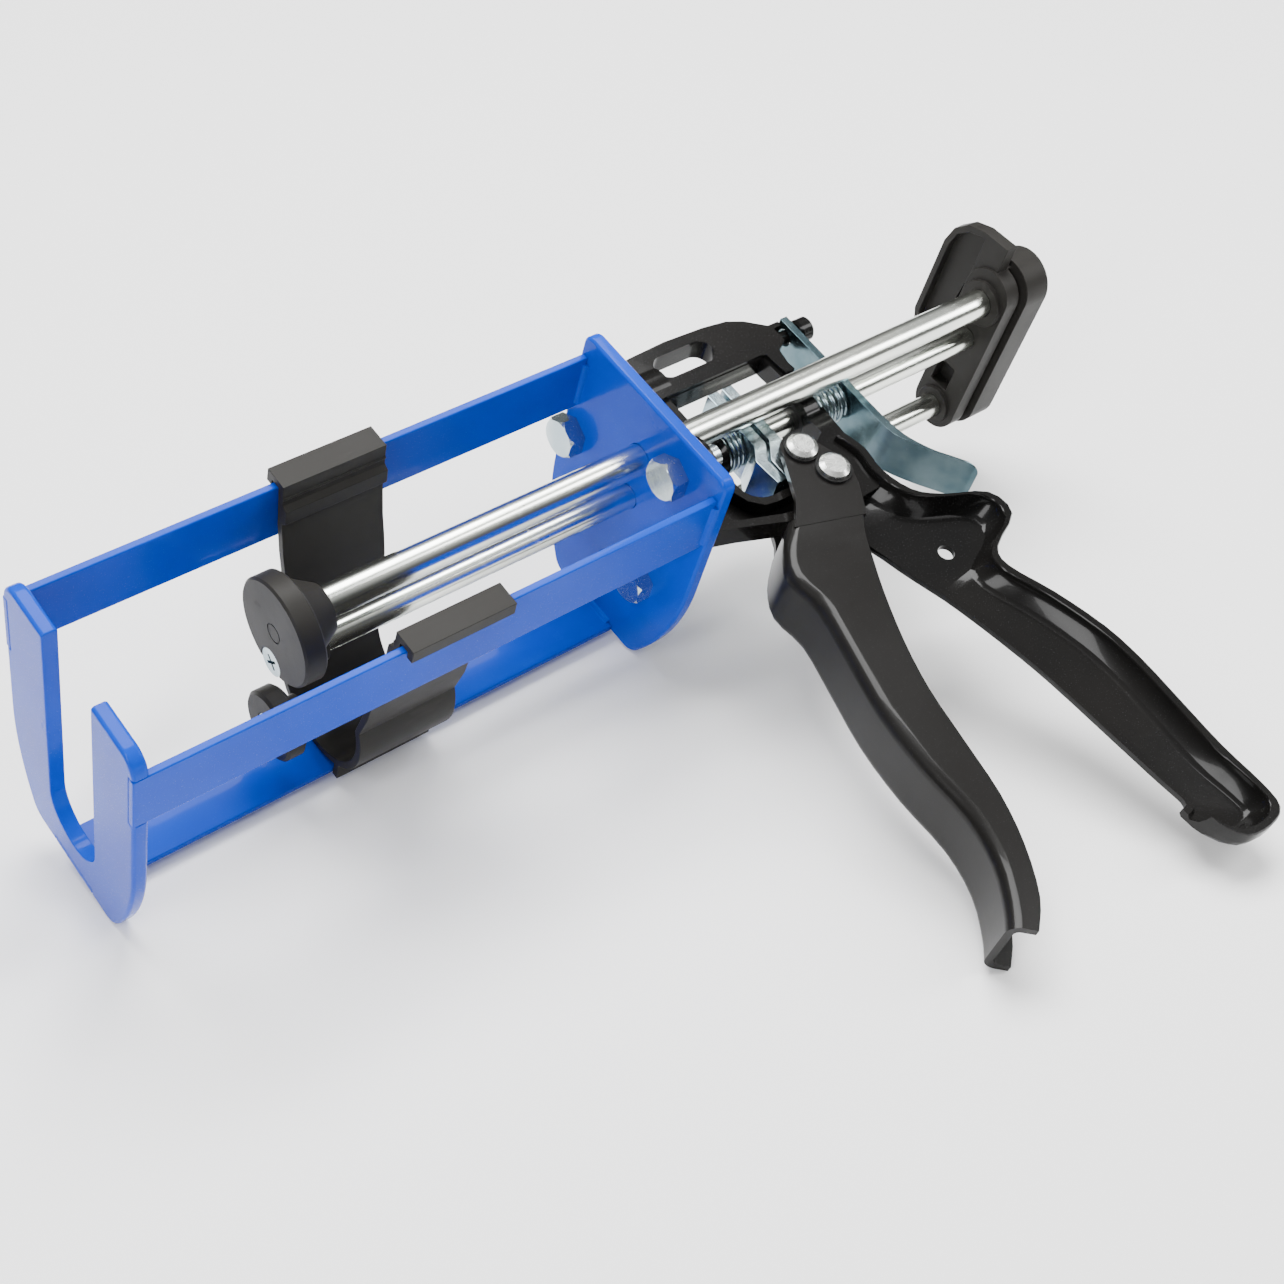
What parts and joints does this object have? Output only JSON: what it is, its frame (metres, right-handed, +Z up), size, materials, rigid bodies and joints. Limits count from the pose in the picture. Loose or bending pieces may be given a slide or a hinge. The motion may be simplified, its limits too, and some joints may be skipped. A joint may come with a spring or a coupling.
{
  "type": "caulking gun",
  "caption": "Ratchet dispensing gun for two-part side-by-side cartridges, with an open strap cradle, two plungers on push rods, a squeeze trigger and a thumb release.",
  "frame": {"origin": "bench level, under the centre of the gun's own box as it lies on its side", "axes": "+X forwards along the rods, from the pull bridge to the yoke; +Y towards the handle's end; +Z up from the bench"},
  "size_m": [0.383, 0.2469, 0.116],
  "materials": {
    "cradle_blue": "glossy paint",
    "gloss_black": "glossy black enamel",
    "dark_plastic": "satin moulded plastic",
    "black_plastic": "satin",
    "bright_rod": "bright ground",
    "zinc": "blue-tinted zinc plate",
    "bolt_steel": "bright zinc plate",
    "rivet_steel": "plain steel"
  },
  "bodies": {
    "frame": {"rear_plate": "cradle_blue", "front_yoke": "cradle_blue", "far_strap": "cradle_blue", "near_strap": "cradle_blue", "bottom_strap": "cradle_blue", "weld_beads": "cradle_blue", "flange_bolts": "bolt_steel", "body_casting": "gloss_black", "front_bush": "black_plastic", "rear_bush": "black_plastic", "release_stud": "gloss_black", "return_spring": "zinc", "release_spring": "zinc"},
    "trigger": {"trigger_lever": "gloss_black", "trigger_pivot_pin": "rivet_steel", "pivot_collars": "black_plastic", "pusher_pin": "rivet_steel", "pusher_roller": "bolt_steel"},
    "grip_plates": {"front_grip_plate": "zinc", "rear_grip_plate": "zinc"},
    "rods": {"drive_rod": "bright_rod", "large_push_rod": "bright_rod", "small_push_rod": "bright_rod", "large_plunger": "dark_plastic", "small_plunger": "dark_plastic", "plunger_screws": "zinc", "rear_bridge": "dark_plastic", "bridge_screws": "zinc"},
    "release": {"release_lever": "zinc"},
    "clip": {"cartridge_clip": "dark_plastic"}
  },
  "joints": [
    {"name": "trigger_squeeze", "type": "hinge", "parent": "frame", "child": "trigger", "pos_m": [-0.0695, -0.04936, 0.05725], "axis": [0, 0.2758, 0.9612], "range_deg": [0, 25], "stiffness_Nm_per_rad": 1, "springref_deg": -20.05},
    {"name": "grip_slide", "type": "slide", "parent": "frame", "child": "grip_plates", "axis": [1, 0, 0], "range_m": [0, 0.0048], "deforming": ["return_spring"]},
    {"name": "rod_slide", "type": "slide", "parent": "frame", "child": "rods", "axis": [1, 0, 0], "range_m": [-0.11, 0.055]},
    {"name": "release_press", "type": "hinge", "parent": "frame", "child": "release", "pos_m": [-0.1035, -0.11088, 0.0749], "axis": [0, 0.2758, 0.9612], "range_deg": [-7, 0], "stiffness_Nm_per_rad": 0.4, "springref_deg": 20.05, "deforming": ["release_spring"]},
    {"name": "clip_slide", "type": "slide", "parent": "frame", "child": "clip", "axis": [1, 0, 0], "range_m": [-0.07, 0.075]}
  ],
  "couplings": [
    {"joint": "grip_slide", "follows": "trigger_squeeze", "m_per_rad": 0.0107}
  ]
}
